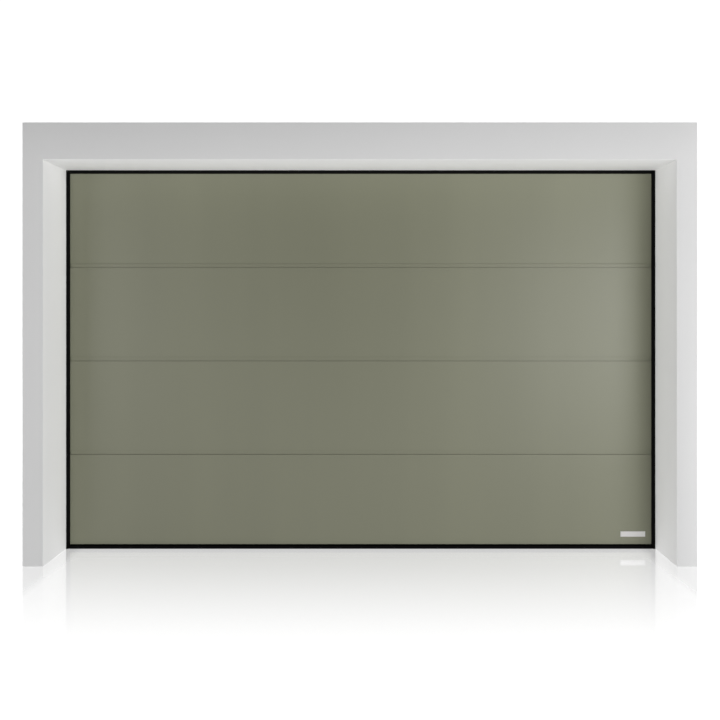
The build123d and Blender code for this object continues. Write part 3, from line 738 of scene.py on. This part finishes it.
# Painted shade: the floor's glow is dimmer near the door and the wall, and brightens with the distance from
# them.
away.between(whiter_from, whitest_from).mix(near_white_painted_shade, far_white).into(shader, "Emission Color")
share = (1.0 - away.between(fade_start, fade_end)) * (wall_mirror - inside * (wall_mirror - leaf_mirror))
matt = Wire(place_on.tree, shader.outputs["BSDF"])
mirror = place_on.node("BsdfGlossy", None, {"Color": grey(1.0), "Roughness": 0.03})
surface = place_on.tree.nodes["Material Output"]
place_on.node("MixShader", None, {0: share, 1: matt, 2: mirror}).into(surface, "Surface")
floor.data.materials.append(finish)
floor.visible_diffuse = False
print("the floor mirrors", leaf_mirror, "of the leaf and", wall_mirror, "of the wall")

# %% [markdown]
# A studio is white all round, but it isn't equally bright from everywhere. The camera sees plain white. All
# other rays find light from both sides, which lights the reveals, and some from below, which lights the
# lintel's underside as a pale floor does. Nothing comes from the front, or the lacquer would look milky.

# %% Studio
side_light, light_below, leftward, seen_white = 0.30, 1.7, 0.6, 1.1

world = bpy.data.worlds.new("studio")
bpy.context.scene.world = world
world.use_nodes = True
tree = world.node_tree
tree.nodes.clear()
seen = Wire(tree).node("LightPath", output="Is Camera Ray")
direction = Wire(tree).node("TexCoord", output="Generated")
across, up = direction.part(0), direction.part(2)
sides = across.size().between(0.0, 0.55) * side_light
below = up.math("MINIMUM", 0.0) ** 2.0 * (light_below - across * leftward)
strength = seen * seen_white + (1.0 - seen) * (sides + below)
background = seen.node("Background", None, {"Color": grey(1.0), "Strength": strength})
background.into(tree.nodes.new("ShaderNodeOutputWorld"), "Surface")
print("the studio's strength takes", len(tree.nodes), "nodes")

# %% [markdown]
# Lamps are softboxes: rectangles that face the door and don't show themselves. Some have a single job, as
# in a product studio where flags and screens keep each light off the rest: a lamp can be linked to the
# pieces that it lights, and be left out of reflections or of all but reflections. Widths and heights are in
# metres and powers in watts.

# %% Softboxes
def softbox(name, spot, aim, width, height, power, lights=None):
    """A rectangular lamp at one point that faces another, and lights one collection or everything."""
    lamp = bpy.data.lights.new(name, "AREA")
    lamp.shape = "RECTANGLE"
    lamp.size, lamp.size_y = width, height
    lamp.energy = power
    holder = bpy.data.objects.new(name, lamp)
    holder.location = spot
    holder.rotation_euler = (Vector(aim) - Vector(spot)).to_track_quat("-Z", "Y").to_euler()
    holder.visible_camera = False
    bpy.context.scene.collection.objects.link(holder)
    holder.light_linking.receiver_collection = lights
    return holder


def gathered(name, pieces):
    """A collection of the only pieces that a lamp lights."""
    made = bpy.data.collections.new(name)
    for piece in pieces:
        made.objects.link(piece)
    return made


floor_only = gathered("floor_only", [floor])
walls_only = gathered("walls_only", [portal])
leaf_only = gathered("leaf_only", [nodes[name] for name in ("bottom_section", *upper_sections)])
print("lamps can light", floor_only.name, walls_only.name, "and", leaf_only.name)

# %% [markdown]
# The key light stands at the front right, so the right jamb shades the leaf's edge beside it and the lacquer
# brightens towards that side. One lamp behind the door serves the views from inside. The sheen lamps are
# only seen in reflections. The leaf and the walls have lamps of their own, because no one lamp gives both
# the leaf's even light from the front and the reveals' light from far out at the sides.

# %% Lamps on the door
softbox("key", (3.7, -5.2, 1.25), (0.8, 0, 0.95), 3.2, 2.6, 97.0)
softbox("back", (1.5, 6.0, 3.4), (0, 0, 1.3), 3.6, 2.4, 210.0)
for name, x, power in (("sheen_right", 3.9, 36.0), ("sheen_left", -4.7, 62.0)):
    softbox(name, (x, -5.2, 1.5), (x / 4, 0, 1.1), 2.2, 3.2, power).visible_diffuse = False
for name, x, power in (("leaf_right", 3.0, 80.0), ("leaf_left", -2.2, 36.0)):
    softbox(name, (x, -6.5, 1.1), (0, 0, 1.1), 2.0, 2.0, power, leaf_only).visible_glossy = False
for name, x, power in (("wall_right", 12.0, 680.0), ("wall_left", -12.0, 570.0)):
    softbox(name, (x, -3.6, 1.3), (0, 0, 1.3), 5.0, 4.0, power, walls_only)
print(len(bpy.data.lights), "lamps on the door")

# %% [markdown]
# A mirror shows what stands round it. Beyond the door the floor has to mirror white, or it would turn dark
# there, so four large cards stand round it and one hangs above. They light the floor alone. A card's power
# follows from its area, so that all five are equally bright.

# %% White cards round the floor
card_brightness = 3.3
card_length, card_height, card_distance, ceiling_height = 20.0, 12.0, 10, 12.0

for x, y in ((0, card_distance), (0, -card_distance), (card_distance, 0), (-card_distance, 0)):
    middle, power = card_height / 2, card_length * card_height * card_brightness
    card = softbox("card", (x, y, middle), (0, 0, middle), card_length, card_height, power, floor_only)
    card.visible_diffuse = False
power = card_length * card_length * card_brightness
softbox("ceiling", (0, 0, ceiling_height), (0, 0, 0), card_length, card_length, power, floor_only)
print("cards of", card_length * card_height * card_brightness, "and a ceiling of", power, "watts")

# %% [markdown]
# A film-like view transform would grey the whites, so the picture keeps the plain one.

# %% Picture
bpy.context.scene.view_settings.view_transform = "Standard"
bpy.context.scene.view_settings.look = "None"
